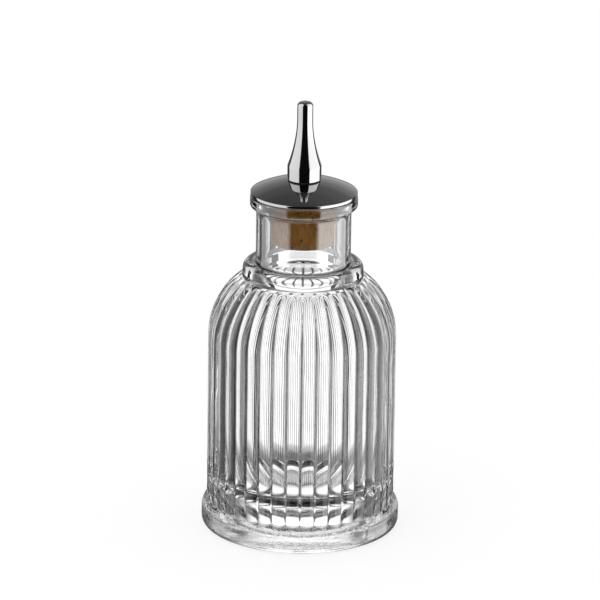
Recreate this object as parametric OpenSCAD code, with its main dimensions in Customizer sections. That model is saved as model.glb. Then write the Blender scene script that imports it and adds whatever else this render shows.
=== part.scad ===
// Ribbed bitters bottle: a heavy round glass bottle, closed by a dasher stopper that lifts out.
// The stopper is a tapered cork under a domed metal cover, with a turned metal spout on top.
// Millimetres, +Z up, origin at the centre of the base on the surface that it stands on.

/* [Base] */
// Outside diameter of the base ring
ring_d = 63.2; // [62.4:0.1:66]
// Radius of the bead that forms the upper side of the base ring
ring_bead_r = 4; // [3:0.1:5]
// Height of the centre of that bead above the table
ring_bead_z = 5.6; // [5:0.1:7]
// Radius of the heel, where the side of the ring turns in to the foot
heel_r = 2.5; // [1.5:0.1:3.5]
// Diameter of the hollow under the base, inside the ring of glass that bears on the table
hollow_d = 49; // [40:1:52]
// Height of that hollow at its centre
hollow_h = 1.8; // [0.8:0.1:3]
// Height of the inside floor above the table, at its centre
floor_z = 12; // [9:0.5:16]
// Radius of the bowl that joins the inside floor to the wall
bowl_r = 10; // [5:0.5:15]

/* [Body] */
// Diameter of the body over the crests of its reeds
body_d = 60; // [57:0.5:61]
// Height above the table at which the shoulder starts to turn in
shoulder_z = 63.8; // [55:0.1:75]
// Radius of the shoulder, from the body in to the collar
shoulder_r = 24; // [22:0.5:27]
// Thickness of the glass from the crest of a reed to the inside
wall_t = 3.8; // [3:0.1:5]
// Number of reeds round the body
reed_count = 40; // [32:1:44]
// Radius of one reed
reed_r = 3.2; // [2.6:0.1:3.4]

/* [Neck] */
// Diameter of the collar between shoulder and neck
collar_d = 38.4; // [36:0.1:41]
// Height of the collar, from the ends of the reeds to the neck
collar_h = 5; // [4:0.1:7]
// Radius that rounds the top of the collar
collar_round = 2.4; // [1:0.1:2.8]
// Outside diameter of the neck
neck_d = 30.2; // [29.4:0.1:32]
// Length of the straight neck, from the collar to the flare under the lip
neck_h = 17.2; // [14:0.1:24]
// Diameter of the bore through the neck
neck_bore_d = 24.6; // [23:0.1:25.5]
// Outside diameter of the lip
lip_d = 34.2; // [32.5:0.1:36]
// Height of the flare from the neck out to the lip
flare_h = 1.5; // [1:0.1:2.5]
// Height of the straight side of the lip
lip_h = 3.25; // [2.5:0.05:5]
// Radius that rounds the edges of the lip
lip_round = 0.8; // [0.3:0.1:1.2]
// Height of the narrow band in the mouth that the cork seats in
seat_h = 1.7; // [1:0.1:2.5]
// Height over which the mouth opens out from that band to the bore of the neck
mouth_taper_h = 2.3; // [1.5:0.1:4]

/* [Cork] */
// Diameter of the cork at the top of the mouth
cork_d = 21.4; // [20.4:0.1:22]
// How much smaller the cork is at its lower end
cork_taper = 1; // [0.4:0.1:1.6]
// Length of the cork
cork_len = 15.3; // [12:0.1:22]
// Bevel round the lower end of the cork
cork_bevel = 0.4; // [0.2:0.1:1]

/* [Cover] */
// Diameter of the domed cover
cover_d = 34; // [32:0.1:36]
// Thickness of the rim of the cover
rim_t = 1.1; // [0.8:0.1:1.6]
// Radius that rounds the edge of the rim
rim_round = 0.5; // [0.2:0.1:0.5]
// Radius of the sphere that the top of the cover follows
dome_r = 37; // [32:1:50]

/* [Spout] */
// Diameter of the spout at its foot
foot_d = 10.8; // [9.8:0.1:11.6]
// Height of the straight foot
foot_h = 4.5; // [3:0.1:6]
// Height of the curve that draws the foot in to the tip
sweep_h = 15; // [11:0.5:18]
// How sharply that curve draws in
sweep_power = 1.9; // [1.5:0.1:2.5]
// Diameter of the straight tip
tip_d = 5.04; // [4.4:0.02:5.6]
// Height of the straight tip, to the rounded end
tip_h = 5.8; // [4:0.1:9]
// Radius that rounds the end of the tip
tip_round = 1.3; // [0.6:0.1:1.5]
// Diameter of the outlet at the tip
outlet_d = 2; // [1.2:0.1:2.4]
// Diameter of the channel inside the spout, under the outlet
channel_d = 2.8; // [2.4:0.1:3.4]
// Thickness of the seal between spout and cover
seal_t = 0.4; // [0.2:0.1:0.8]

/* [Stem] */
// Outside diameter of the tube that ties spout, cover and cork together
stem_d = 6.4; // [6:0.1:7]
// Diameter of the bore of that tube
stem_bore_d = 4; // [3:0.1:4.4]
// Length of the tube inside the spout
stem_grip = 5; // [3.5:0.1:6]
// Diameter of the flange under the cork
flange_d = 12; // [9:0.5:16]
// Thickness of that flange
flange_t = 0.8; // [0.5:0.1:1.4]
// Diameter of the plug that meters the dashes
plug_d = 5.2; // [4.8:0.1:5.4]
// Length of that plug
plug_len = 4.5; // [3:0.1:6]
// Thickness of the wall across the plug
plug_wall = 1; // [0.6:0.1:1.6]
// Diameter of the hole in that wall
dash_d = 1.2; // [0.8:0.1:2]

/* [Fits] */
// Radial gap between the cork and the mouth
cork_gap = 0.08; // [0.04:0.01:0.1]
// Gap between the underside of the cover and the lip
lip_gap = 0.05; // [0.02:0.01:0.1]
// Radial gap where turned pieces slide together
slip = 0.05; // [0.02:0.01:0.1]

/* [Hidden] */
$fn = 64;
overcut = 1;
arc_steps = 6;
dome_steps = 10;
sweep_steps = 14;

ring_r = ring_d / 2;
body_r = body_d / 2;
collar_r = collar_d / 2;
neck_r = neck_d / 2;
neck_bore_r = neck_bore_d / 2;
lip_r = lip_d / 2;
cover_r = cover_d / 2;
foot_r = foot_d / 2;
tip_r = tip_d / 2;
stem_r = stem_d / 2;
cork_r = cork_d / 2;

// The shoulder is an arc about this radius, at the height shoulder_z
shoulder_c = body_r - shoulder_r;
// The core lies just inside the creases between reeds, so that the reeds leave no gaps
core_inset = reed_r / 2;
// The reeds reach the collar where their crests stand this far out from it
reed_proud = 0.8;
// The reeds go on inside the collar until their crests lie this far under its side
reed_buried = 1.2;
// The creases run into the upper side of the base ring
reed_z = ring_bead_z;
reed_end_angle = acos((collar_r - reed_buried - shoulder_c) / shoulder_r);

collar_z = shoulder_z + sqrt(pow(shoulder_r, 2) - pow(collar_r + reed_proud - shoulder_c, 2));
neck_z = collar_z + collar_h;
flare_z = neck_z + neck_h;
lip_z = flare_z + flare_h;
lip_top = lip_z + lip_h;

inside_r = body_r - wall_t;
inside_arc = shoulder_r - wall_t;
// The inside of the neck rounds over into the inside of the shoulder
throat_r = 4;
throat_x = neck_bore_r + throat_r;
throat_z = shoulder_z + sqrt(pow(inside_arc + throat_r, 2) - pow(throat_x - shoulder_c, 2));
throat_angle = atan2(throat_z - shoulder_z, throat_x - shoulder_c);

cover_z = lip_top + lip_gap;
cork_bottom = cover_z - cork_len;
cork_end_r = cork_r - cork_taper / 2;
mouth_r = cork_r + cork_gap;
core_end_angle = acos((collar_r - reed_buried - shoulder_c) / (shoulder_r - core_inset));
// The hollow under the base is a shallow spherical cap
hollow_sphere_r = (pow(hollow_d / 2, 2) + pow(hollow_h, 2)) / (2 * hollow_h);

rim_z = cover_z + rim_t;
dome_z = rim_z - sqrt(pow(dome_r, 2) - pow(cover_r, 2));
foot_z = dome_z + sqrt(pow(dome_r, 2) - pow(foot_r, 2));
seal_r = foot_r - 0.3;
spout_z = foot_z + seal_t;
sweep_z = spout_z + foot_h;
tip_z = sweep_z + sweep_h;
top_z = tip_z + tip_h;
outlet_len = 2.5;
stem_top = spout_z + stem_grip;

// Points on an arc about a centre, from one angle to another
function arc(centre, r, from, to, steps = arc_steps) =
    [for (i = [0:steps]) centre + r * [cos(from + (to - from) * i / steps), sin(from + (to - from) * i / steps)]];

// Puts its children at each reed in turn, so that a crease between two reeds faces the front
module at_each_reed() {
    for (k = [0:reed_count - 1])
        rotate([0, 0, 360 * (k + 0.5) / reed_count - 90])
            children();
}

// Round reeds side by side: straight up the body, then bent in over the shoulder as far as the collar
module reeds() {
    translate([0, 0, reed_z])
        linear_extrude(height = shoulder_z - reed_z) {
            circle(r = body_r - core_inset);
            at_each_reed()
                translate([body_r - reed_r, 0])
                    circle(r = reed_r);
        }
    at_each_reed()
        translate([shoulder_c, 0, shoulder_z])
            rotate([90, 0, 0])
                rotate_extrude(angle = reed_end_angle)
                    translate([shoulder_r - reed_r, 0])
                        circle(r = reed_r);
}

// Base ring: rounded heel, upright side, and a bead that falls in towards the reeds
module base_ring() {
    rotate_extrude()
        polygon(concat(
            [[0, 0]],
            arc([ring_r - heel_r, heel_r], heel_r, -90, 0),
            arc([ring_r - ring_bead_r, ring_bead_z], ring_bead_r, 0, 90),
            [[0, ring_bead_z + ring_bead_r]]
        ));
}

// Core of the body behind the reeds, then collar, neck and lip, as one turned outline
module body_core() {
    rotate_extrude()
        polygon(concat(
            [[0, ring_bead_z], [body_r - core_inset, ring_bead_z]],
            arc([shoulder_c, shoulder_z], shoulder_r - core_inset, 0, core_end_angle, dome_steps),
            [[collar_r, collar_z]],
            arc([collar_r - collar_round, neck_z - collar_round], collar_round, 0, 90),
            [[neck_r, neck_z], [neck_r, flare_z]],
            [[lip_r, lip_z]],
            arc([lip_r - lip_round, lip_top - lip_round], lip_round, 0, 90),
            [[0, lip_top]]
        ));
}

// Inside of the bottle: bowl, wall, shoulder, neck and the narrow band that the cork seats in
module bottle_inside() {
    taper_z = lip_top - seat_h - mouth_taper_h;
    rotate_extrude()
        polygon(concat(
            [[0, floor_z]],
            arc([inside_r - bowl_r, floor_z + bowl_r], bowl_r, -90, 0, dome_steps),
            arc([shoulder_c, shoulder_z], inside_arc, 0, throat_angle, dome_steps),
            arc([throat_x, throat_z], throat_r, 180 + throat_angle, 180),
            [[neck_bore_r, taper_z], [mouth_r, lip_top - seat_h]],
            [[mouth_r, lip_top + overcut], [0, lip_top + overcut]]
        ));
}

// Shallow spherical hollow under the base
module base_hollow() {
    half_angle = asin(hollow_d / 2 / hollow_sphere_r);
    rotate_extrude()
        polygon(concat(
            arc([0, hollow_h - hollow_sphere_r], hollow_sphere_r, 90 - half_angle, 90),
            [[0, -overcut], [hollow_d / 2, -overcut]]
        ));
}

module glass_bottle() {
    color("aliceblue", 0.5)
        difference() {
            union() {
                base_ring();
                body_core();
                reeds();
            }
            bottle_inside();
            base_hollow();
        }
}

// Tapered cork, clamped under the cover by the stem's flange, which is let into its lower end
module cork_stopper() {
    color("peru")
        difference() {
            rotate_extrude()
                polygon([
                    [0, cork_bottom],
                    [cork_end_r - cork_bevel, cork_bottom],
                    [cork_end_r, cork_bottom + cork_bevel],
                    [cork_r, lip_top - seat_h],
                    [cork_r, cover_z],
                    [0, cover_z]
                ]);
            translate([0, 0, cork_bottom - overcut])
                cylinder(r = stem_r + slip, h = cork_len + 2 * overcut);
            translate([0, 0, cork_bottom - overcut])
                cylinder(r = flange_d / 2 + slip, h = flange_t + overcut);
        }
}

// Domed cover: flat underneath, where it meets the lip and the cork, with a flat for the spout on top
module cover_disc() {
    color("silver")
        difference() {
            rotate_extrude()
                polygon(concat(
                    [[0, cover_z]],
                    arc([cover_r - rim_round, cover_z + rim_round], rim_round, -90, 0),
                    arc([0, dome_z], dome_r, acos(cover_r / dome_r), acos(foot_r / dome_r), dome_steps),
                    [[0, foot_z]]
                ));
            translate([0, 0, cover_z - overcut])
                cylinder(r = stem_r + slip, h = foot_z - cover_z + 2 * overcut);
        }
}

// Thin seal that keeps the thread of the spout dry
module spout_seal() {
    color("black")
        translate([0, 0, foot_z])
            difference() {
                cylinder(r = seal_r, h = seal_t);
                translate([0, 0, -overcut])
                    cylinder(r = stem_r + slip, h = seal_t + 2 * overcut);
            }
}

// Turned spout: straight foot, a curve that draws in, and a straight tip with a rounded end
module dasher_spout() {
    sweep = [for (i = [0:sweep_steps])
        let (t = i / sweep_steps)
        [tip_r + (foot_r - tip_r) * pow(1 - t, sweep_power), sweep_z + sweep_h * t]];
    color("silver")
        difference() {
            rotate_extrude()
                polygon(concat(
                    [[0, spout_z], [foot_r, spout_z]],
                    sweep,
                    arc([tip_r - tip_round, top_z - tip_round], tip_round, 0, 90),
                    [[0, top_z]]
                ));
            translate([0, 0, spout_z - overcut])
                cylinder(r = stem_r + slip, h = stem_grip + overcut);
            translate([0, 0, spout_z])
                cylinder(r = channel_d / 2, h = top_z - outlet_len - spout_z);
            translate([0, 0, spout_z])
                cylinder(r = outlet_d / 2, h = top_z + overcut - spout_z);
        }
}

// Tube from the lower end of the cork up into the spout, with a flange let into the cork
module stem_tube() {
    color("gainsboro")
        difference() {
            union() {
                translate([0, 0, cork_bottom])
                    cylinder(r = stem_r, h = stem_top - cork_bottom);
                translate([0, 0, cork_bottom])
                    cylinder(r = flange_d / 2, h = flange_t);
            }
            translate([0, 0, cork_bottom - overcut])
                cylinder(r = stem_bore_d / 2, h = stem_top - cork_bottom + 2 * overcut);
            translate([0, 0, cork_bottom - overcut])
                cylinder(r = plug_d / 2 + slip, h = plug_len + overcut);
        }
}

// Plug in the lower end of the stem: a cup with one small hole, which lets out a dash at a time
module dash_reducer() {
    color("white")
        translate([0, 0, cork_bottom])
            difference() {
                cylinder(r = plug_d / 2, h = plug_len);
                translate([0, 0, -overcut])
                    cylinder(r = stem_bore_d / 2 - slip, h = plug_len - plug_wall + overcut);
                cylinder(r = dash_d / 2, h = plug_len + overcut);
            }
}

glass_bottle();
cork_stopper();
cover_disc();
spout_seal();
dasher_spout();
stem_tube();
dash_reducer();
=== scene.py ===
import math

import bmesh
import bpy
from mathutils import Matrix, Vector, noise


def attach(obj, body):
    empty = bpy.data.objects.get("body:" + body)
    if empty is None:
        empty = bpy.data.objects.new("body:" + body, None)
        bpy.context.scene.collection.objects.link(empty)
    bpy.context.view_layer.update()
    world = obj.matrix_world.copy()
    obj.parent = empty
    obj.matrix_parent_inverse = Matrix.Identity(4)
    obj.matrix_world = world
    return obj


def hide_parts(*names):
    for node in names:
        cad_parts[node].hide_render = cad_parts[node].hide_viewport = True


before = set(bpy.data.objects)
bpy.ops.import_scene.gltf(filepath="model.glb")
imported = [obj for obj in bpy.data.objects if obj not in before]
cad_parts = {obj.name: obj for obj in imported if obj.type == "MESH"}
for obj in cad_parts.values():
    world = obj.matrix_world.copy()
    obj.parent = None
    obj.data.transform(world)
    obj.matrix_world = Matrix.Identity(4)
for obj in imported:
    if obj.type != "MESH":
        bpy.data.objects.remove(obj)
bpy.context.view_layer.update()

# Sizes of the bottle are in millimetres, as in the CAD model, and MM turns them into metres
MM = 0.001

# Base, body and shoulder of the bottle
RING_R = 31.6
RING_BEAD_R = 4.0
RING_BEAD_Z = 5.6
HEEL_R = 2.5
HOLLOW_R = 24.5
HOLLOW_H = 1.8
FLOOR_Z = 12.0
BOWL_R = 10.0
BODY_R = 30.0
SHOULDER_Z = 63.8
SHOULDER_R = 24.0
WALL_T = 3.8
REED_COUNT = 40
REED_DEPTH = 0.7
REED_FADE_Z = 80.0
MEET_ROUND = 0.4

# Fine groove at the crease between two reeds, which fades out towards CREASE_END_Z
CREASE_W = 0.35
CREASE_DEPTH = 0.3
CREASE_END_Z = 80.0
CREASE_FADE = 12.0

# Collar, neck, lip and mouth
COLLAR_R = 19.2
COLLAR_H = 5.0
COLLAR_ROUND = 2.4
COLLAR_PROUD = 0.8
COLLAR_SLOPE = 2.0
NECK_R = 15.1
NECK_FILLET = 1.2
NECK_H = 17.2
NECK_BORE_R = 12.3
FLARE_H = 1.5
LIP_R = 17.1
LIP_H = 3.25
LIP_ROUND = 0.8
THROAT_R = 4.0
MOUTH_R = 10.78
MOUTH_EDGE = 0.25
SEAT_H = 1.7
MOUTH_TAPER_H = 2.3

# Stopper
CORK_R = 10.7
CORK_END_R = 10.2
CORK_LEN = 15.3
CORK_BEVEL = 0.4
LIP_GAP = 0.05
SLIP = 0.05
COVER_R = 17.0
RIM_T = 1.1
RIM_ROUND = 0.5
DOME_R = 37.0
SEAL_T = 0.4
FOOT_R = 5.4
FOOT_H = 4.5
FOOT_EDGE = 0.12
SWEEP_H = 15.0
SWEEP_POWER = 1.9
TIP_R = 2.52
TIP_H = 5.8
TIP_ROUND = 1.3
OUTLET_R = 1.0
OUTLET_LEN = 2.5
OUTLET_EDGE = 0.1
CHANNEL_R = 1.4
STEM_R = 3.2
STEM_BORE_R = 2.0
STEM_GRIP = 5.0
THREAD_PITCH = 0.7
THREAD_DEPTH = 0.35
FLANGE_R = 6.0
FLANGE_T = 0.8
FLANGE_EDGE = 0.15
PLUG_R = 2.6
PLUG_LEN = 4.5
PLUG_WALL = 1.0
PLUG_ROUND = 0.15
DASH_R = 0.6

# Mould seams: two fine ridges on opposite sides, the first to the right of the front
SEAM_ANGLE = math.radians(-90 + 41.5)
SEAM_HEIGHT = 0.07
SEAM_WIDTH = 0.45
SEAM_FOOT_Z = 0.5

# Unevenness of the blown inside: long upright waves and finer ripples, which fade out towards the
# neck and the axis over INSIDE_FADE
INSIDE_WAVE = 0.10
INSIDE_RIPPLE = 0.03
INSIDE_FADE = 10.0

# Surface of the cork: a pit starts where the noise is over PIT_LEVEL and deepens by PIT_DEPTH for
# each unit above it, and CORK_GRAIN is the depth of the fine grain
PIT_DEPTH = 0.9
PIT_LEVEL = 0.33
CORK_GRAIN = 0.04

# Places of the bottle's mesh columns over half a reed, from the crease to the crest, and the
# distance between its mesh rows along the base ring, the body, the shoulder and the collar
REED_STEPS = (0.0, 0.02, 0.045, 0.075, 0.13, 0.22, 0.34, 0.5)
ROW_RING = 0.16
ROW_BODY = 1.4
ROW_SHOULDER = 0.6
ROW_COLLAR = 0.15

# Mesh columns of the other pieces, and the steps along the sweep of the spout
CORK_COLUMNS = 360
COVER_COLUMNS = 256
SPOUT_COLUMNS = 192
SEAL_COLUMNS = 128
STEM_COLUMNS = 96
SWEEP_STEPS = 40

# Heights and radii that follow from the sizes
SHOULDER_C = BODY_R - SHOULDER_R
COLLAR_Z = SHOULDER_Z + math.sqrt(SHOULDER_R ** 2 - (COLLAR_R + COLLAR_PROUD - SHOULDER_C) ** 2)
NECK_Z = COLLAR_Z + COLLAR_H
FLARE_Z = NECK_Z + NECK_H
LIP_Z = FLARE_Z + FLARE_H
LIP_TOP = LIP_Z + LIP_H
INSIDE_R = BODY_R - WALL_T
COVER_Z = LIP_TOP + LIP_GAP
CORK_BOTTOM = COVER_Z - CORK_LEN
RIM_Z = COVER_Z + RIM_T
DOME_Z = RIM_Z - math.sqrt(DOME_R ** 2 - COVER_R ** 2)
FOOT_Z = DOME_Z + math.sqrt(DOME_R ** 2 - FOOT_R ** 2)
SPOUT_Z = FOOT_Z + SEAL_T
SWEEP_Z = SPOUT_Z + FOOT_H
TOP_Z = SWEEP_Z + SWEEP_H + TIP_H
STEM_TOP = SPOUT_Z + STEM_GRIP


def arc(x, z, r, start, end, steps):
    """Points on an arc about (x, z), with the angles in degrees."""
    angles = [math.radians(start + (end - start) * i / steps) for i in range(steps + 1)]
    return [(x + r * math.cos(a), z + r * math.sin(a)) for a in angles]


def line(start, end, steps):
    """Points between two ends, with the start and without the end."""
    return [
        (start[0] + (end[0] - start[0]) * i / steps, start[1] + (end[1] - start[1]) * i / steps)
        for i in range(steps)
    ]


def ease(start, end, steps):
    """Points on an S-shaped step from one radius to another."""
    points = []
    for i in range(steps + 1):
        t = i / steps
        eased = t * t * (3 - 2 * t)
        points.append((start[0] + (end[0] - start[0]) * eased, start[1] + (end[1] - start[1]) * t))
    return points


def add_object(name, data):
    """Puts an object with this data into the scene."""
    obj = bpy.data.objects.new(name, data)
    bpy.context.scene.collection.objects.link(obj)
    return obj


def add_mesh(name, bm):
    """Puts a finished bmesh into the scene as an object."""
    mesh = bpy.data.meshes.new(name)
    bm.to_mesh(mesh)
    bm.free()
    return add_object(name, mesh)


def revolve(name, outline, columns, radius_at=None, sharp=35):
    """Turns a closed outline of (r, z) points about the Z axis into one clean closed mesh.
    columns is their number or a list of their angles. radius_at(r, z, angle) may change the radius
    at each column. A point at r = 0 is one vertex. Edges sharper than sharp, in degrees, stay sharp."""
    bm = bmesh.new()
    angles = columns
    if isinstance(columns, int):
        angles = [2 * math.pi * j / columns - math.pi / 2 for j in range(columns)]
    columns = len(angles)
    rings = []
    for r, z in outline:
        if r <= 0:
            rings.append([bm.verts.new((0, 0, z * MM))])
            continue
        ring = []
        for angle in angles:
            out = radius_at(r, z, angle) if radius_at else r
            ring.append(bm.verts.new((out * math.cos(angle) * MM, out * math.sin(angle) * MM, z * MM)))
        rings.append(ring)
    for low, high in zip(rings, rings[1:] + rings[:1]):
        if len(low) == 1 and len(high) == 1:
            continue
        for j in range(columns):
            k = (j + 1) % columns
            corners = [low[j % len(low)], low[k % len(low)], high[k % len(high)], high[j % len(high)]]
            bm.faces.new(list(dict.fromkeys(corners)))
    bmesh.ops.recalc_face_normals(bm, faces=bm.faces)
    limit = math.radians(sharp)
    for edge in bm.edges:
        edge.smooth = edge.calc_face_angle(0) < limit
    for face in bm.faces:
        face.smooth = True
    return add_mesh(name, bm)


def finish_piece(obj, material, body, slot, *nodes):
    """Gives a piece its material, hangs it on the body that it rides on and hides the CAD nodes that it
    stands for.
    """
    obj.data.materials.append(material)
    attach(obj, body)
    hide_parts(*nodes)
    return obj


# Node helpers for the materials and the world

class Nodes:
    """A thin layer over a node tree, so that each material below reads top to bottom."""

    def __init__(self, owner):
        owner.use_nodes = True
        self.tree = owner.node_tree
        self.tree.nodes.clear()

    def add(self, kind, settings=None, **inputs):
        """A new node with some settings and inputs."""
        node = self.tree.nodes.new(kind)
        for key, value in (settings or {}).items():
            setattr(node, key, value)
        for key, value in inputs.items():
            self.put(node, key, value)
        return node

    def put(self, node, key, value):
        """Sets or links an input by its name, or by its number as in i0."""
        wanted = key.replace("_", " ").lower()
        if key.startswith("i") and key[1:].isdigit():
            socket = node.inputs[int(key[1:])]
        else:
            socket = next(s for s in node.inputs if s.name.lower() == wanted)
        if isinstance(value, bpy.types.NodeSocket):
            self.tree.links.new(value, socket)
        else:
            socket.default_value = value

    def math(self, operation, *values):
        """The result of a sum, a product or the like."""
        node = self.add("ShaderNodeMath", {"operation": operation})
        for i, value in enumerate(values):
            self.put(node, f"i{i}", value)
        return node.outputs[0]

    def ramp(self, value, low, high, out_low=0.0, out_high=1.0):
        """A smooth step from out_low to out_high as the value goes from low to high."""
        node = self.add("ShaderNodeMapRange", {"interpolation_type": "SMOOTHSTEP"},
                        i0=value, i1=low, i2=high, i3=out_low, i4=out_high)
        return node.outputs[0]

    def noise(self, vector, scale, detail=3.0, roughness=0.55):
        """Even noise from 0 to 1."""
        node = self.add("ShaderNodeTexNoise", vector=vector, scale=scale, detail=detail,
                        roughness=roughness)
        return node.outputs["Fac"]

    def stretched(self, vector, scale):
        """A place scaled along each axis, so that a pattern on it gets longer one way."""
        node = self.add("ShaderNodeMapping", vector=vector, scale=scale)
        return node.outputs[0]

    def mix(self, factor, a, b):
        """A colour between a, at factor 0, and b, at factor 1."""
        node = self.add("ShaderNodeMix", {"data_type": "RGBA"})
        for index, value in ((0, factor), (6, a), (7, b)):
            self.put(node, f"i{index}", value)
        return node.outputs[2]

    def bump(self, height, strength, distance, normal=None):
        """The surface normal with this relief on it, over another relief where one is given."""
        node = self.add("ShaderNodeBump", height=height, strength=strength, distance=distance)
        if normal:
            self.put(node, "normal", normal)
        return node.outputs[0]

    def finish(self, shader):
        """Makes this shader the surface of the material or of the world."""
        for_world = shader.bl_idname == "ShaderNodeBackground"
        output = self.add("ShaderNodeOutputWorld" if for_world else "ShaderNodeOutputMaterial")
        self.tree.links.new(shader.outputs[0], output.inputs["Surface"])


def new_material(name):
    """A material with one shader, and the place on the object for its patterns."""
    material = bpy.data.materials.new(name)
    nodes = Nodes(material)
    shader = nodes.add("ShaderNodeBsdfPrincipled")
    nodes.finish(shader)
    position = nodes.add("ShaderNodeTexCoord").outputs["Object"]
    return material, nodes, shader, position


# Heights in metres over which the stippling under the base and the marks round the base ring fade
STIPPLE_FADE = (0.0019, 0.0024)
MARKS_FADE = (0.0085, 0.0100)


def glass_material():
    """Clear soda glass: faintly uneven from the mould, stippled under the base, and with marks of the
    flow round the base ring. Its neck has the brighter gloss of a fire-polished surface."""
    material, nodes, shader, position = new_material("clear_glass")
    nodes.put(shader, "base_color", (0.996, 0.998, 0.998, 1))
    nodes.put(shader, "roughness", 0.0)
    nodes.put(shader, "ior", 1.5)
    nodes.put(shader, "transmission_weight", 1.0)
    height = nodes.add("ShaderNodeSeparateXYZ", vector=position).outputs["Z"]
    waves = nodes.noise(nodes.stretched(position, (160, 160, 45)), scale=1.0, detail=2.0)
    skin = nodes.bump(waves, strength=0.12, distance=0.0003)
    under = nodes.ramp(height, *STIPPLE_FADE, out_low=1.0, out_high=0.0)
    stipple = nodes.math("MULTIPLY", nodes.noise(position, scale=1500.0, detail=2.0), under)
    stippled = nodes.bump(stipple, strength=0.10, distance=0.0003, normal=skin)
    low = nodes.ramp(height, *MARKS_FADE, out_low=1.0, out_high=0.0)
    rings = nodes.noise(nodes.stretched(position, (30, 30, 900)), scale=1.0, detail=1.0)
    marks = nodes.math("MULTIPLY", rings, low)
    nodes.put(shader, "normal", nodes.bump(marks, strength=0.12, distance=0.0003, normal=stippled))
    nodes.put(shader, "coat_ior", 1.9)
    nodes.put(shader, "coat_weight", nodes.ramp(height, (NECK_Z - 2) * MM, NECK_Z * MM))
    return material


def cork_material():
    """Natural cork: warm brown, with darker patches, paler streaks along the grain and open pores."""
    material, nodes, shader, position = new_material("natural_cork")
    grain = nodes.noise(nodes.stretched(position, (900, 900, 220)), scale=1.0, detail=5.0)
    patches = nodes.noise(position, scale=330.0, detail=3.0)
    brown = nodes.mix(patches, (0.68, 0.285, 0.036, 1), (0.46, 0.165, 0.016, 1))
    streaked = nodes.mix(nodes.ramp(grain, 0.35, 0.7), brown, (0.78, 0.40, 0.08, 1))
    cells = nodes.add("ShaderNodeTexVoronoi", {"feature": "F1"},
                      vector=nodes.stretched(position, (520, 520, 300)), scale=1.0, randomness=1.0)
    wander = nodes.math("MULTIPLY", nodes.noise(position, scale=700.0, detail=2.0), 0.35)
    from_pore = nodes.math("ADD", cells.outputs["Distance"], wander)
    pores = nodes.ramp(from_pore, 0.26, 0.36, out_low=1.0, out_high=0.0)
    nodes.put(shader, "base_color", nodes.mix(pores, streaked, (0.06, 0.022, 0.008, 1)))
    nodes.put(shader, "roughness", nodes.ramp(grain, 0.2, 0.8, out_low=0.7, out_high=0.9))
    height = nodes.math("SUBTRACT", nodes.math("MULTIPLY", grain, 0.35), pores)
    nodes.put(shader, "normal", nodes.bump(height, strength=0.6, distance=0.0003))
    return material


def polished_metal():
    """Mirror-polished metal with faint marks of the turning and of handling."""
    material, nodes, shader, position = new_material("polished_metal")
    nodes.put(shader, "base_color", (0.57, 0.57, 0.58, 1))
    nodes.put(shader, "metallic", 1.0)
    marks = nodes.noise(nodes.stretched(position, (500, 500, 9000)), scale=1.0, detail=3.0)
    nodes.put(shader, "roughness", nodes.ramp(marks, 0.3, 0.8, out_low=0.03, out_high=0.07))
    nodes.put(shader, "normal", nodes.bump(marks, strength=0.02, distance=0.00002))
    return material


def stem_metal():
    """Turned steel, satin, with fine rings from the tool."""
    material, nodes, shader, position = new_material("stem_metal")
    rings = nodes.noise(nodes.stretched(position, (200, 200, 12000)), scale=1.0, detail=2.0)
    nodes.put(shader, "base_color", nodes.mix(rings, (0.55, 0.55, 0.57, 1), (0.72, 0.72, 0.73, 1)))
    nodes.put(shader, "metallic", 1.0)
    nodes.put(shader, "roughness", nodes.ramp(rings, 0.2, 0.8, out_low=0.22, out_high=0.4))
    nodes.put(shader, "normal", nodes.bump(rings, strength=0.15, distance=0.00004))
    return material


def seal_rubber():
    """Matt black rubber with a fine grain."""
    material, nodes, shader, position = new_material("seal_rubber")
    grain = nodes.noise(position, scale=6000.0, detail=3.0)
    nodes.put(shader, "base_color", nodes.mix(grain, (0.012, 0.012, 0.012, 1), (0.03, 0.03, 0.03, 1)))
    nodes.put(shader, "roughness", nodes.ramp(grain, 0.2, 0.8, out_low=0.55, out_high=0.75))
    nodes.put(shader, "normal", nodes.bump(grain, strength=0.2, distance=0.00003))
    return material


def reducer_plastic():
    """Natural polyethylene, milky and waxy."""
    material, nodes, shader, position = new_material("reducer_plastic")
    cloud = nodes.noise(position, scale=900.0, detail=2.0)
    nodes.put(shader, "base_color", nodes.mix(cloud, (0.80, 0.80, 0.77, 1), (0.88, 0.88, 0.86, 1)))
    nodes.put(shader, "roughness", nodes.ramp(cloud, 0.2, 0.8, out_low=0.35, out_high=0.5))
    nodes.put(shader, "subsurface_weight", 0.2)
    nodes.put(shader, "normal", nodes.bump(cloud, strength=0.1, distance=0.0001))
    return material


# The bottle

def clamped(share):
    """A share kept between 0 and 1."""
    return min(1.0, max(0.0, share))


def soft_max(a, b, blend):
    """The larger of two radii, with a fillet where they are nearly equal."""
    over = max(blend - abs(a - b), 0.0) / blend
    return max(a, b) + over * over * blend * 0.25


def crest_radius(z):
    """Radius over the crests of the reeds, up the body and over the shoulder."""
    if z <= SHOULDER_Z:
        return BODY_R
    return SHOULDER_C + math.sqrt(max(0.0, SHOULDER_R ** 2 - (z - SHOULDER_Z) ** 2))


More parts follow.
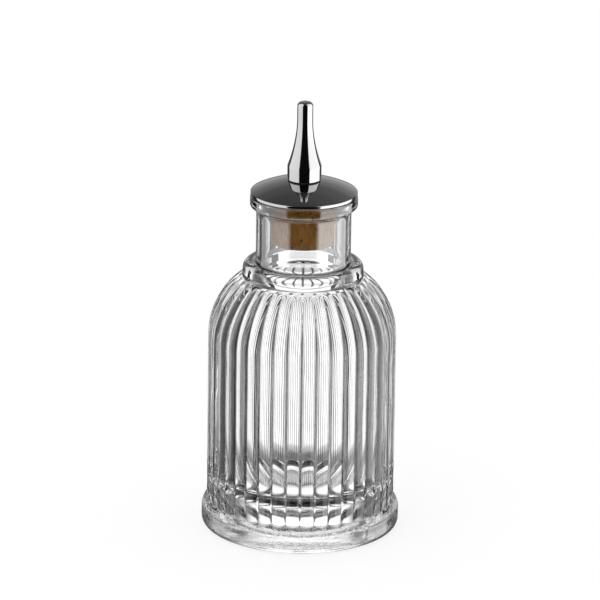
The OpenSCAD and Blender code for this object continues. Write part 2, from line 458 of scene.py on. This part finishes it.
def reed_radius(z, angle):
    """Radius of the reeded side: one round reed in each pitch, with a crease at the front. The reeds
    run out in round ends under the collar."""
    pitch = 2 * math.pi / REED_COUNT
    from_crest = (angle + math.pi / 2) % pitch - pitch / 2
    across = abs(from_crest) / pitch
    crease = max(0.0, 1 - (0.5 - across) * pitch * BODY_R / CREASE_W)
    crease *= clamped((CREASE_END_Z - z) / CREASE_FADE)
    depth = REED_DEPTH * (2 * across) ** 2 + CREASE_DEPTH * crease ** 1.5
    depth *= 1 - clamped((z - REED_FADE_Z) / (COLLAR_Z - REED_FADE_Z)) ** 2
    crest = crest_radius(z)
    depth *= crest / BODY_R
    lean = clamped((z - SHOULDER_Z) / SHOULDER_R)
    return crest - depth / math.sqrt(1 - lean * lean)


def seam(angle):
    """Height of the mould seams at an angle."""
    off = (angle - SEAM_ANGLE + math.pi / 2) % math.pi - math.pi / 2
    t = off * BODY_R / SEAM_WIDTH
    return SEAM_HEIGHT * max(0.0, 1 - t * t)


def bottle_outside(r, z, angle):
    """Radius of the outside: base ring, reeds and collar melt into each other."""
    if RING_BEAD_Z <= z < NECK_Z - COLLAR_ROUND:
        side = reed_radius(z, angle)
        bead_top = RING_BEAD_Z + RING_BEAD_R
        if z < bead_top:
            bead = RING_R - RING_BEAD_R + math.sqrt(RING_BEAD_R ** 2 - (z - RING_BEAD_Z) ** 2)
            side = soft_max(side, bead, MEET_ROUND)
        if z > COLLAR_Z - COLLAR_PROUD:
            under = COLLAR_R - COLLAR_SLOPE * max(0.0, COLLAR_Z - z)
            side = soft_max(side, under, MEET_ROUND)
        r = side
    return r + seam(angle) * (z > SEAM_FOOT_Z)


def inside_unevenness(z, angle):
    """The blown inside is faintly uneven, in long upright waves."""
    where = Vector((3.0 * math.cos(angle), 3.0 * math.sin(angle), z * 0.05))
    return INSIDE_WAVE * noise.noise(where) + INSIDE_RIPPLE * noise.noise(where * 3.7)


def bottle_radius(outer_rows):
    """Radius rule for the whole outline: outside rows first, then the inside."""
    def radius(r, z, angle, index):
        if index < outer_rows:
            return bottle_outside(r, z, angle)
        fade = clamped((NECK_Z - z) / INSIDE_FADE) * clamped(r / INSIDE_FADE)
        return r + inside_unevenness(z, angle) * fade
    return radius


def rows(low, high, step):
    """Heights about a step apart, with the low end and without the high one."""
    count = max(1, round((high - low) / step))
    return [low + (high - low) * i / count for i in range(count)]


def bottle_outline():
    """Closed section of the glass, out along the base, up the side, over the lip and down the inside."""
    sphere_r = (HOLLOW_R ** 2 + HOLLOW_H ** 2) / (2 * HOLLOW_H)
    half = math.degrees(math.asin(HOLLOW_R / sphere_r))
    outside = [(0, HOLLOW_H)]
    outside += arc(0, HOLLOW_H - sphere_r, sphere_r, 90, 90 - half, 24)[1:]
    outside += line((HOLLOW_R + 0.8, 0), (RING_R - HEEL_R, 0), 4)
    outside += arc(RING_R - HEEL_R, HEEL_R, HEEL_R, -90, 0, 10)
    outside += line((RING_R, HEEL_R + 0.4), (RING_R, RING_BEAD_Z), 6)
    bead_top = RING_BEAD_Z + RING_BEAD_R
    heights = rows(RING_BEAD_Z, bead_top + 1, ROW_RING)
    heights += rows(bead_top + 1, SHOULDER_Z - 1, ROW_BODY)
    heights += rows(SHOULDER_Z - 1, COLLAR_Z - 2, ROW_SHOULDER)
    heights += rows(COLLAR_Z - 2, NECK_Z - COLLAR_ROUND, ROW_COLLAR)
    outside += [(BODY_R, z) for z in heights]
    outside += arc(COLLAR_R - COLLAR_ROUND, NECK_Z - COLLAR_ROUND, COLLAR_ROUND, 0, 90, 10)
    outside += arc(NECK_R + NECK_FILLET, NECK_Z + NECK_FILLET, NECK_FILLET, -90, -180, 8)
    outside += line((NECK_R, NECK_Z + 3), (NECK_R, FLARE_Z - 0.3), 12)
    outside += ease((NECK_R, FLARE_Z - 0.2), (LIP_R, LIP_Z + 0.2), 10)
    outside += line((LIP_R, LIP_Z + 0.5), (LIP_R, LIP_TOP - LIP_ROUND - 0.1), 4)
    outside += arc(LIP_R - LIP_ROUND, LIP_TOP - LIP_ROUND, LIP_ROUND, 0, 90, 8)

    inside_arc = SHOULDER_R - WALL_T
    throat_x = NECK_BORE_R + THROAT_R
    throat_z = SHOULDER_Z + math.sqrt((inside_arc + THROAT_R) ** 2 - (throat_x - SHOULDER_C) ** 2)
    throat = math.degrees(math.atan2(throat_z - SHOULDER_Z, throat_x - SHOULDER_C))
    taper_z = LIP_TOP - SEAT_H - MOUTH_TAPER_H
    flat = INSIDE_R - BOWL_R
    inside = [(0, FLOOR_Z)]
    inside += line((flat / 12, FLOOR_Z), (flat, FLOOR_Z), 10)
    inside += arc(flat, FLOOR_Z + BOWL_R, BOWL_R, -90, 0, 24)
    inside += line((INSIDE_R, FLOOR_Z + BOWL_R + 1), (INSIDE_R, SHOULDER_Z - 0.5), 26)
    inside += arc(SHOULDER_C, SHOULDER_Z, inside_arc, 0, throat, 28)
    inside += arc(throat_x, throat_z, THROAT_R, 180 + throat, 180, 10)[1:]
    inside += line((NECK_BORE_R, throat_z + 1.5), (NECK_BORE_R, taper_z - 0.5), 12)
    inside += ease((NECK_BORE_R, taper_z), (MOUTH_R, LIP_TOP - SEAT_H), 10)
    inside += arc(MOUTH_R + MOUTH_EDGE, LIP_TOP - MOUTH_EDGE, MOUTH_EDGE, 180, 90, 5)
    return outside, inside[::-1]


def glass_bottle(material):
    """The bottle, with mesh columns close together at the creases."""
    outside, inside = bottle_outline()
    rule = bottle_radius(len(outside))
    order = {}
    for index, point in enumerate(outside + inside):
        order.setdefault(point, index)

    def radius_at(r, z, angle):
        return rule(r, z, angle, order[(r, z)])

    steps = list(REED_STEPS) + [1 - step for step in REED_STEPS[-2:0:-1]]
    angles = [2 * math.pi * (reed + step) / REED_COUNT - math.pi / 2
              for reed in range(REED_COUNT) for step in steps]
    bottle = revolve("glass_bottle_fine", outside + inside, angles, radius_at, sharp=60)
    return finish_piece(bottle, material, "bottle", "clear_glass", "glass_bottle")


# The stopper

def cork_stopper(material):
    """Tapered cork whose side and ends carry small open pores."""
    bore = STEM_R + SLIP
    seat = FLANGE_R + SLIP
    seat_z = CORK_BOTTOM + FLANGE_T
    full = LIP_TOP - SEAT_H
    outline = line((bore, seat_z), (seat, seat_z), 6)
    outline += line((seat, seat_z), (seat, CORK_BOTTOM), 2)
    outline += line((seat, CORK_BOTTOM), (CORK_END_R - CORK_BEVEL, CORK_BOTTOM), 14)
    outline += line((CORK_END_R - CORK_BEVEL, CORK_BOTTOM), (CORK_END_R, CORK_BOTTOM + CORK_BEVEL), 3)
    outline += line((CORK_END_R, CORK_BOTTOM + CORK_BEVEL), (CORK_R, full), 70)
    outline += line((CORK_R, full), (CORK_R, COVER_Z), 10)
    outline += line((CORK_R, COVER_Z), (bore, COVER_Z), 6)
    outline += line((bore, COVER_Z), (bore, seat_z), 8)

    def radius_at(r, z, angle):
        if r <= seat:
            return r
        where = Vector((r * math.cos(angle), r * math.sin(angle), z * 0.55))
        pit = max(0.0, noise.noise(where * 1.35 + Vector((3, 1, 7))) - PIT_LEVEL)
        grain = 0.5 + 0.5 * noise.noise(where * 4.0)
        return r - PIT_DEPTH * pit - CORK_GRAIN * grain

    cork = revolve("cork_grained", outline, CORK_COLUMNS, radius_at, sharp=40)
    return finish_piece(cork, material, "stopper", "cork", "cork_stopper")


def cover_disc(material):
    """Domed cover with a rounded rim and a flat land for the seal."""
    bore = STEM_R + SLIP
    rim = math.degrees(math.acos(COVER_R / DOME_R))
    land = math.degrees(math.acos(FOOT_R / DOME_R))
    outline = line((bore, COVER_Z), (COVER_R - RIM_ROUND, COVER_Z), 9)
    outline += arc(COVER_R - RIM_ROUND, COVER_Z + RIM_ROUND, RIM_ROUND, -90, 0, 8)
    outline += line((COVER_R, COVER_Z + RIM_ROUND + 0.1), (COVER_R, RIM_Z - 0.12), 2)
    outline += ease((COVER_R, RIM_Z - 0.10), (COVER_R - 0.06, RIM_Z + 0.01), 4)
    outline += arc(0, DOME_Z, DOME_R, rim + 0.2, land, 48)
    outline += line((FOOT_R - 0.2, FOOT_Z), (bore, FOOT_Z), 3)
    outline += line((bore, FOOT_Z), (bore, COVER_Z), 4)
    cover = revolve("cover_polished", outline, COVER_COLUMNS, sharp=30)
    return finish_piece(cover, material, "stopper", "polished_metal", "cover_disc")


def spout_seal(material):
    """A ring with a rounded outer edge."""
    half = SEAL_T / 2
    outer = FOOT_R - 0.3
    outline = arc(outer - half, FOOT_Z + half, half, -90, 90, 10)
    outline += [(STEM_R + SLIP, FOOT_Z + SEAL_T), (STEM_R + SLIP, FOOT_Z)]
    seal = revolve("spout_seal_ring", outline, SEAL_COLUMNS)
    return finish_piece(seal, material, "stopper", "seal_rubber", "spout_seal")


def dasher_spout(material):
    """Turned spout: a straight foot, a sweep in to the straight tip, and the channel inside."""
    sweep = []
    for i in range(SWEEP_STEPS + 1):
        t = i / SWEEP_STEPS
        sweep.append((TIP_R + (FOOT_R - TIP_R) * (1 - t) ** SWEEP_POWER, SWEEP_Z + SWEEP_H * t))
    bore = STEM_R + SLIP
    outline = [(bore, SPOUT_Z), (FOOT_R - FOOT_EDGE, SPOUT_Z), (FOOT_R, SPOUT_Z + FOOT_EDGE)]
    outline += line((FOOT_R, SPOUT_Z + 0.4), (FOOT_R, SWEEP_Z), 5)
    outline += sweep
    outline += line((TIP_R, SWEEP_Z + SWEEP_H + 0.6), (TIP_R, TOP_Z - TIP_ROUND), 5)
    outline += arc(TIP_R - TIP_ROUND, TOP_Z - TIP_ROUND, TIP_ROUND, 0, 90, 12)
    outline += arc(OUTLET_R + OUTLET_EDGE, TOP_Z - OUTLET_EDGE, OUTLET_EDGE, 90, 180, 3)
    outline += [(OUTLET_R, TOP_Z - OUTLET_LEN), (CHANNEL_R, TOP_Z - OUTLET_LEN - 0.4)]
    outline += [(CHANNEL_R, STEM_TOP), (bore, STEM_TOP)]
    spout = revolve("spout_turned", outline, SPOUT_COLUMNS, sharp=30)
    return finish_piece(spout, material, "stopper", "polished_metal", "dasher_spout")


def stem_tube(material):
    """Tube with a flange, threaded where it screws into the spout."""
    outline = [(PLUG_R + SLIP, CORK_BOTTOM), (FLANGE_R - FLANGE_EDGE, CORK_BOTTOM)]
    outline += [(FLANGE_R, CORK_BOTTOM + FLANGE_EDGE), (FLANGE_R, CORK_BOTTOM + FLANGE_T)]
    outline += line((STEM_R, CORK_BOTTOM + FLANGE_T), (STEM_R, SPOUT_Z), 8)
    outline += line((STEM_R, SPOUT_Z), (STEM_R, STEM_TOP - 0.3), 60)
    outline += [(STEM_R - THREAD_DEPTH, STEM_TOP), (STEM_BORE_R, STEM_TOP)]
    outline += [(STEM_BORE_R, CORK_BOTTOM + PLUG_LEN), (PLUG_R + SLIP, CORK_BOTTOM + PLUG_LEN)]

    def radius_at(r, z, angle):
        if r < STEM_R or z <= SPOUT_Z or z >= STEM_TOP:
            return r
        turn = ((z - SPOUT_Z) / THREAD_PITCH - angle / (2 * math.pi)) % 1.0
        run_in = min(1.0, (z - SPOUT_Z) / THREAD_PITCH)
        return r - THREAD_DEPTH * run_in * abs(2 * turn - 1)

    stem = revolve("stem_turned", outline, STEM_COLUMNS, radius_at, sharp=40)
    return finish_piece(stem, material, "stopper", "stem_metal", "stem_tube")


def dash_reducer(material):
    """A cup with one small hole in its end wall and rounded edges."""
    cup_r = STEM_BORE_R - SLIP
    end_z = CORK_BOTTOM + PLUG_LEN
    wall_z = end_z - PLUG_WALL
    outline = arc(PLUG_R - PLUG_ROUND, CORK_BOTTOM + PLUG_ROUND, PLUG_ROUND, -90, 0, 4)
    outline += arc(PLUG_R - PLUG_ROUND, end_z - PLUG_ROUND, PLUG_ROUND, 0, 90, 4)
    outline += [(DASH_R, end_z), (DASH_R, wall_z + 0.2), (DASH_R + 0.3, wall_z)]
    outline += [(cup_r, wall_z), (cup_r, CORK_BOTTOM + 0.1), (cup_r + 0.1, CORK_BOTTOM)]
    reducer = revolve("reducer_moulded", outline, STEM_COLUMNS)
    return finish_piece(reducer, material, "stopper", "reducer_plastic", "dash_reducer")


# Studio

# The point that the camera looks at, its distance in metres, its angles, and its lens in millimetres
CAMERA_AIM = Vector((-0.84, 0, 75)) * MM
CAMERA_DISTANCE = 1.85
CAMERA_ELEVATION = math.radians(18.6)
CAMERA_ROLL = math.radians(0.785)
CAMERA_LENS = 348.8
CAMERA_REACH = 50
CAMERA_BACK = Vector((0, -math.cos(CAMERA_ELEVATION), math.sin(CAMERA_ELEVATION)))
CAMERA_PLACE = CAMERA_AIM + CAMERA_DISTANCE * CAMERA_BACK


def camera():
    """A long lens in front of the bottle, a little above it, with the photograph's slight roll."""
    data = bpy.data.cameras.new("camera")
    data.lens = CAMERA_LENS
    data.clip_end = CAMERA_REACH
    obj = add_object("camera", data)
    obj.location = CAMERA_PLACE
    facing = (-CAMERA_BACK).to_track_quat("-Z", "Y").to_matrix().to_4x4()
    obj.rotation_euler = (facing @ Matrix.Rotation(CAMERA_ROLL, 4, "Z")).to_euler()
    bpy.context.scene.camera = obj


# Light levels of the studio by direction. Each profile is a list of (azimuth, level), with the azimuth
# in degrees from straight behind the bottle, positive to the right.
# This one is for the way that the camera looks, a little down. Its lines are, in turn: round the
# camera, the left softbox, a dark flag, the backdrop behind the bottle, a dark flag, the right
# softbox, and round the camera again.
ROUND_ABOUT = [
    (-180, 0.05), (-147, 0.05),
    (-141, 1.1), (-105, 0.9), (-84, 0.45), (-74, 0.2), (-65, 0.06),
    (-58, 0.02), (-43, 0.02), (-36, 0.03), (-30, 0.12),
    (-25, 0.6), (-19, 1.15), (-12, 1.35), (8, 1.35), (16, 1.25), (22, 0.85),
    (29, 0.35), (36, 0.12), (45, 0.07), (52, 0.08),
    (62, 0.18), (72, 0.32), (80, 0.65), (102, 1.2), (141, 1.5),
    (147, 0.05), (180, 0.05),
]


def dimmed(share, share_behind=None):
    """The profile above at a share of its levels, with another share behind the bottle where given."""
    behind = share if share_behind is None else share_behind
    return [(turn, (behind if abs(turn) < 60 else share) * level) for turn, level in ROUND_ABOUT]


# The studio as seen through glass: (elevation in degrees, profile), from low to high
THROUGH_GLASS = [
    (-82, [(-180, 0.01), (180, 0.01)]),
    (-70, [(-180, 0.1), (-50, 0.02), (50, 0.02), (180, 0.1)]),
    (-58, [(-180, 0.3), (-50, 0.03), (50, 0.03), (180, 0.3)]),
    (-46, dimmed(0.5, share_behind=0.15)),
    (-38, dimmed(0.5)),
    (-31, ROUND_ABOUT),
    (-22, ROUND_ABOUT),
    (-13, dimmed(0.62)),
    (-3, [(-180, 0.1), (-60, 0.03), (-30, 0.04), (-16, 1.3),
          (14, 1.3), (28, 0.2), (48, 0.06), (180, 0.1)]),
    (8, [(-180, 0.15), (-147, 0.06), (-60, 0.03), (-30, 0.04), (-15, 1.4),
         (14, 1.4), (28, 0.2), (48, 0.06), (180, 0.15)]),
    (22, [(-180, 0.9), (-130, 0.5), (-90, 0.06), (-30, 0.04), (-15, 1.0),
          (14, 1.0), (28, 0.1), (90, 0.06), (130, 0.5), (180, 0.9)]),
    (40, [(-180, 1.9), (-130, 1.3), (-90, 0.1), (-40, 0.05), (-18, 0.35),
          (18, 0.35), (40, 0.06), (90, 0.1), (130, 1.3), (180, 1.9)]),
    (70, [(-180, 2.0), (-90, 1.0), (0, 0.15), (90, 1.0), (180, 2.0)]),
]

# Levels round the camera and between a softbox and the backdrop, as mirrors show them
CAMERA_SIDE = 0.005
GAP = 0.02


def mirrored_sides(left, right, behind):
    """A softbox on each side, with dark round the camera and a level behind the bottle."""
    return [
        (-180, CAMERA_SIDE), (-146, CAMERA_SIDE),
        (-141, left), (-62, 1.08 * left),
        (-56, GAP), (-42, GAP),
        (-36, behind), (36, 1.5 * behind),
        (42, GAP), (54, GAP),
        (60, 1.03 * right), (141, right),
        (146, CAMERA_SIDE), (180, CAMERA_SIDE),
    ]


# The studio as seen in mirrors, in the same form
IN_A_MIRROR = [
    (-60, [(-180, 0.3), (180, 0.3)]),
    (-25, mirrored_sides(1.0, 2.0, 0.08)),
    (-12, mirrored_sides(1.15, 2.0, 0.15)),
    (2, mirrored_sides(1.18, 1.62, 0.36)),
    (13, mirrored_sides(1.18, 1.60, 0.26)),
    (24, mirrored_sides(1.15, 1.50, 0.17)),
    (36, mirrored_sides(1.1, 1.4, 0.10)),
    (56, mirrored_sides(1.1, 1.3, 0.07)),
    (80, [(-180, 0.05), (180, 0.05)]),
]

# The even level that lights matt surfaces, and the highest level that a profile can hold
ROOM_LEVEL = 0.8
LEVEL_SCALE = 2.0


def studio_level(nodes, azimuth, elevation, bands):
    """Level of the studio at a direction: each profile melts into the next one up."""
    around = nodes.math("ADD", nodes.math("DIVIDE", azimuth, 2 * math.pi), 0.5)
    level = None
    for index, (height, profile) in enumerate(bands):
        ramp = nodes.add("ShaderNodeValToRGB", fac=around)
        elements = ramp.color_ramp.elements
        for place, (turn, value) in enumerate(profile):
            element = elements[place] if place < 2 else elements.new(turn / 360 + 0.5)
            element.position = turn / 360 + 0.5
            element.color = (value / LEVEL_SCALE,) * 3 + (1,)
        if level is None:
            level = ramp.outputs["Color"]
            continue
        share = nodes.ramp(elevation, math.radians(bands[index - 1][0]), math.radians(height))
        level = nodes.mix(share, level, ramp.outputs["Color"])
    return nodes.math("MULTIPLY", level, LEVEL_SCALE)


def studio_world():
    """White to the camera. Glass shows the bright backdrop and its flags, polished metal the
    softboxes, and matt surfaces are lit evenly."""
    world = bpy.data.worlds.new("studio")
    bpy.context.scene.world = world
    nodes = Nodes(world)
    direction = nodes.add("ShaderNodeTexCoord").outputs["Generated"]
    parts = nodes.add("ShaderNodeSeparateXYZ", vector=direction)
    azimuth = nodes.math("ARCTAN2", parts.outputs["X"], parts.outputs["Y"])
    elevation = nodes.math("ARCSINE", parts.outputs["Z"])
    through = studio_level(nodes, azimuth, elevation, THROUGH_GLASS)
    mirrored = studio_level(nodes, azimuth, elevation, IN_A_MIRROR)

    path = nodes.add("ShaderNodeLightPath").outputs
    level = nodes.mix(path["Is Glossy Ray"], (ROOM_LEVEL,) * 3 + (1,), mirrored)
    level = nodes.mix(path["Is Transmission Ray"], level, through)
    level = nodes.mix(path["Is Camera Ray"], level, (1, 1, 1, 1))
    nodes.finish(nodes.add("ShaderNodeBackground", color=level, strength=1.0))


# The floor: its radius in metres, how bright it glows to the camera, and its colour
FLOOR_RADIUS = 3.0
FLOOR_GLOW = 0.80
FLOOR_COLOUR = 0.25


def studio_floor():
    """Pale floor: white to the camera, with the soft shadow of the bottle."""
    bm = bmesh.new()
    bmesh.ops.create_circle(bm, cap_ends=True, radius=FLOOR_RADIUS, segments=96)
    floor = add_mesh("floor", bm)
    material = bpy.data.materials.new("pale_floor")
    nodes = Nodes(material)
    matt = nodes.add("ShaderNodeBsdfDiffuse", color=(FLOOR_COLOUR, FLOOR_COLOUR, FLOOR_COLOUR, 1))
    path = nodes.add("ShaderNodeLightPath").outputs
    glow = nodes.add("ShaderNodeEmission", color=(1, 1, 1, 1),
                     strength=nodes.math("MULTIPLY", path["Is Camera Ray"], FLOOR_GLOW))
    nodes.finish(nodes.add("ShaderNodeAddShader", i0=matt.outputs[0], i1=glow.outputs[0]))
    floor.data.materials.append(material)
    floor.visible_transmission = False
    floor.visible_glossy = False


# Dark cards, in millimetres: their distance behind the bottle's axis, how far they reach in from its
# outline and out from it, and the heights on the shoulder at which they follow its curve
CARD_Y = 34.0
CARD_INSET = 1.2
CARD_WIDTH = 6.0
CARD_STEPS = (0, 4, 8, 12, 15, 18)
CARD_COLOUR = 0.01


def dark_cards():
    """A dark card on each side, close behind the outline of the glass as the camera sees it, for the
    dark line along its edges. Only the glass shows the cards."""
    outline = [(RING_R, 1.0), (RING_R, RING_BEAD_Z + 1), (BODY_R, RING_BEAD_Z + 5)]
    outline += [(crest_radius(SHOULDER_Z + step), SHOULDER_Z + step) for step in CARD_STEPS]
    outline += [(COLLAR_R, COLLAR_Z), (COLLAR_R, NECK_Z - 1), (NECK_R, NECK_Z), (NECK_R, FLARE_Z)]
    outline += [(LIP_R, FLARE_Z + 2), (LIP_R, FLARE_Z + 4)]
    eye = CAMERA_PLACE / MM
    reach = (CARD_Y - eye.y) / -eye.y
    bm = bmesh.new()
    for side in (-1, 1):
        rungs = []
        for r, z in outline:
            height = eye.z + (z - eye.z) * reach
            ends = (side * (r - CARD_INSET) * reach, side * (r + CARD_WIDTH) * reach)
            rungs.append([bm.verts.new((x * MM, CARD_Y * MM, height * MM)) for x in ends])
        for low, high in zip(rungs, rungs[1:]):
            bm.faces.new((low[0], low[1], high[1], high[0]))
    cards = add_mesh("cards", bm)
    material = bpy.data.materials.new("dark_card")
    nodes = Nodes(material)
    nodes.finish(nodes.add("ShaderNodeBsdfDiffuse", color=(CARD_COLOUR, CARD_COLOUR, CARD_COLOUR, 1)))
    cards.data.materials.append(material)
    cards.visible_camera = False
    cards.visible_diffuse = False
    cards.visible_glossy = False
    cards.visible_shadow = False


# The key light: its power in watts, and its size and place in metres
KEY_ENERGY = 1.2
KEY_SIZE = 0.8
KEY_PLACE = Vector((-0.5, -0.6, 0.9))


def key_light():
    """Large soft light from the upper left, for the floor's soft shadow and the cork."""
    data = bpy.data.lights.new("key", "AREA")
    data.energy = KEY_ENERGY
    data.size = KEY_SIZE
    obj = add_object("key", data)
    obj.location = KEY_PLACE
    obj.rotation_euler = (-KEY_PLACE).to_track_quat("-Z", "Y").to_euler()
    obj.visible_glossy = False
    obj.visible_transmission = False


camera()
studio_world()
studio_floor()
dark_cards()
key_light()

metal = polished_metal()
glass_bottle(glass_material())
cork_stopper(cork_material())
cover_disc(metal)
spout_seal(seal_rubber())
dasher_spout(metal)
stem_tube(stem_metal())
dash_reducer(reducer_plastic())

bpy.context.scene.view_settings.view_transform = "Standard"
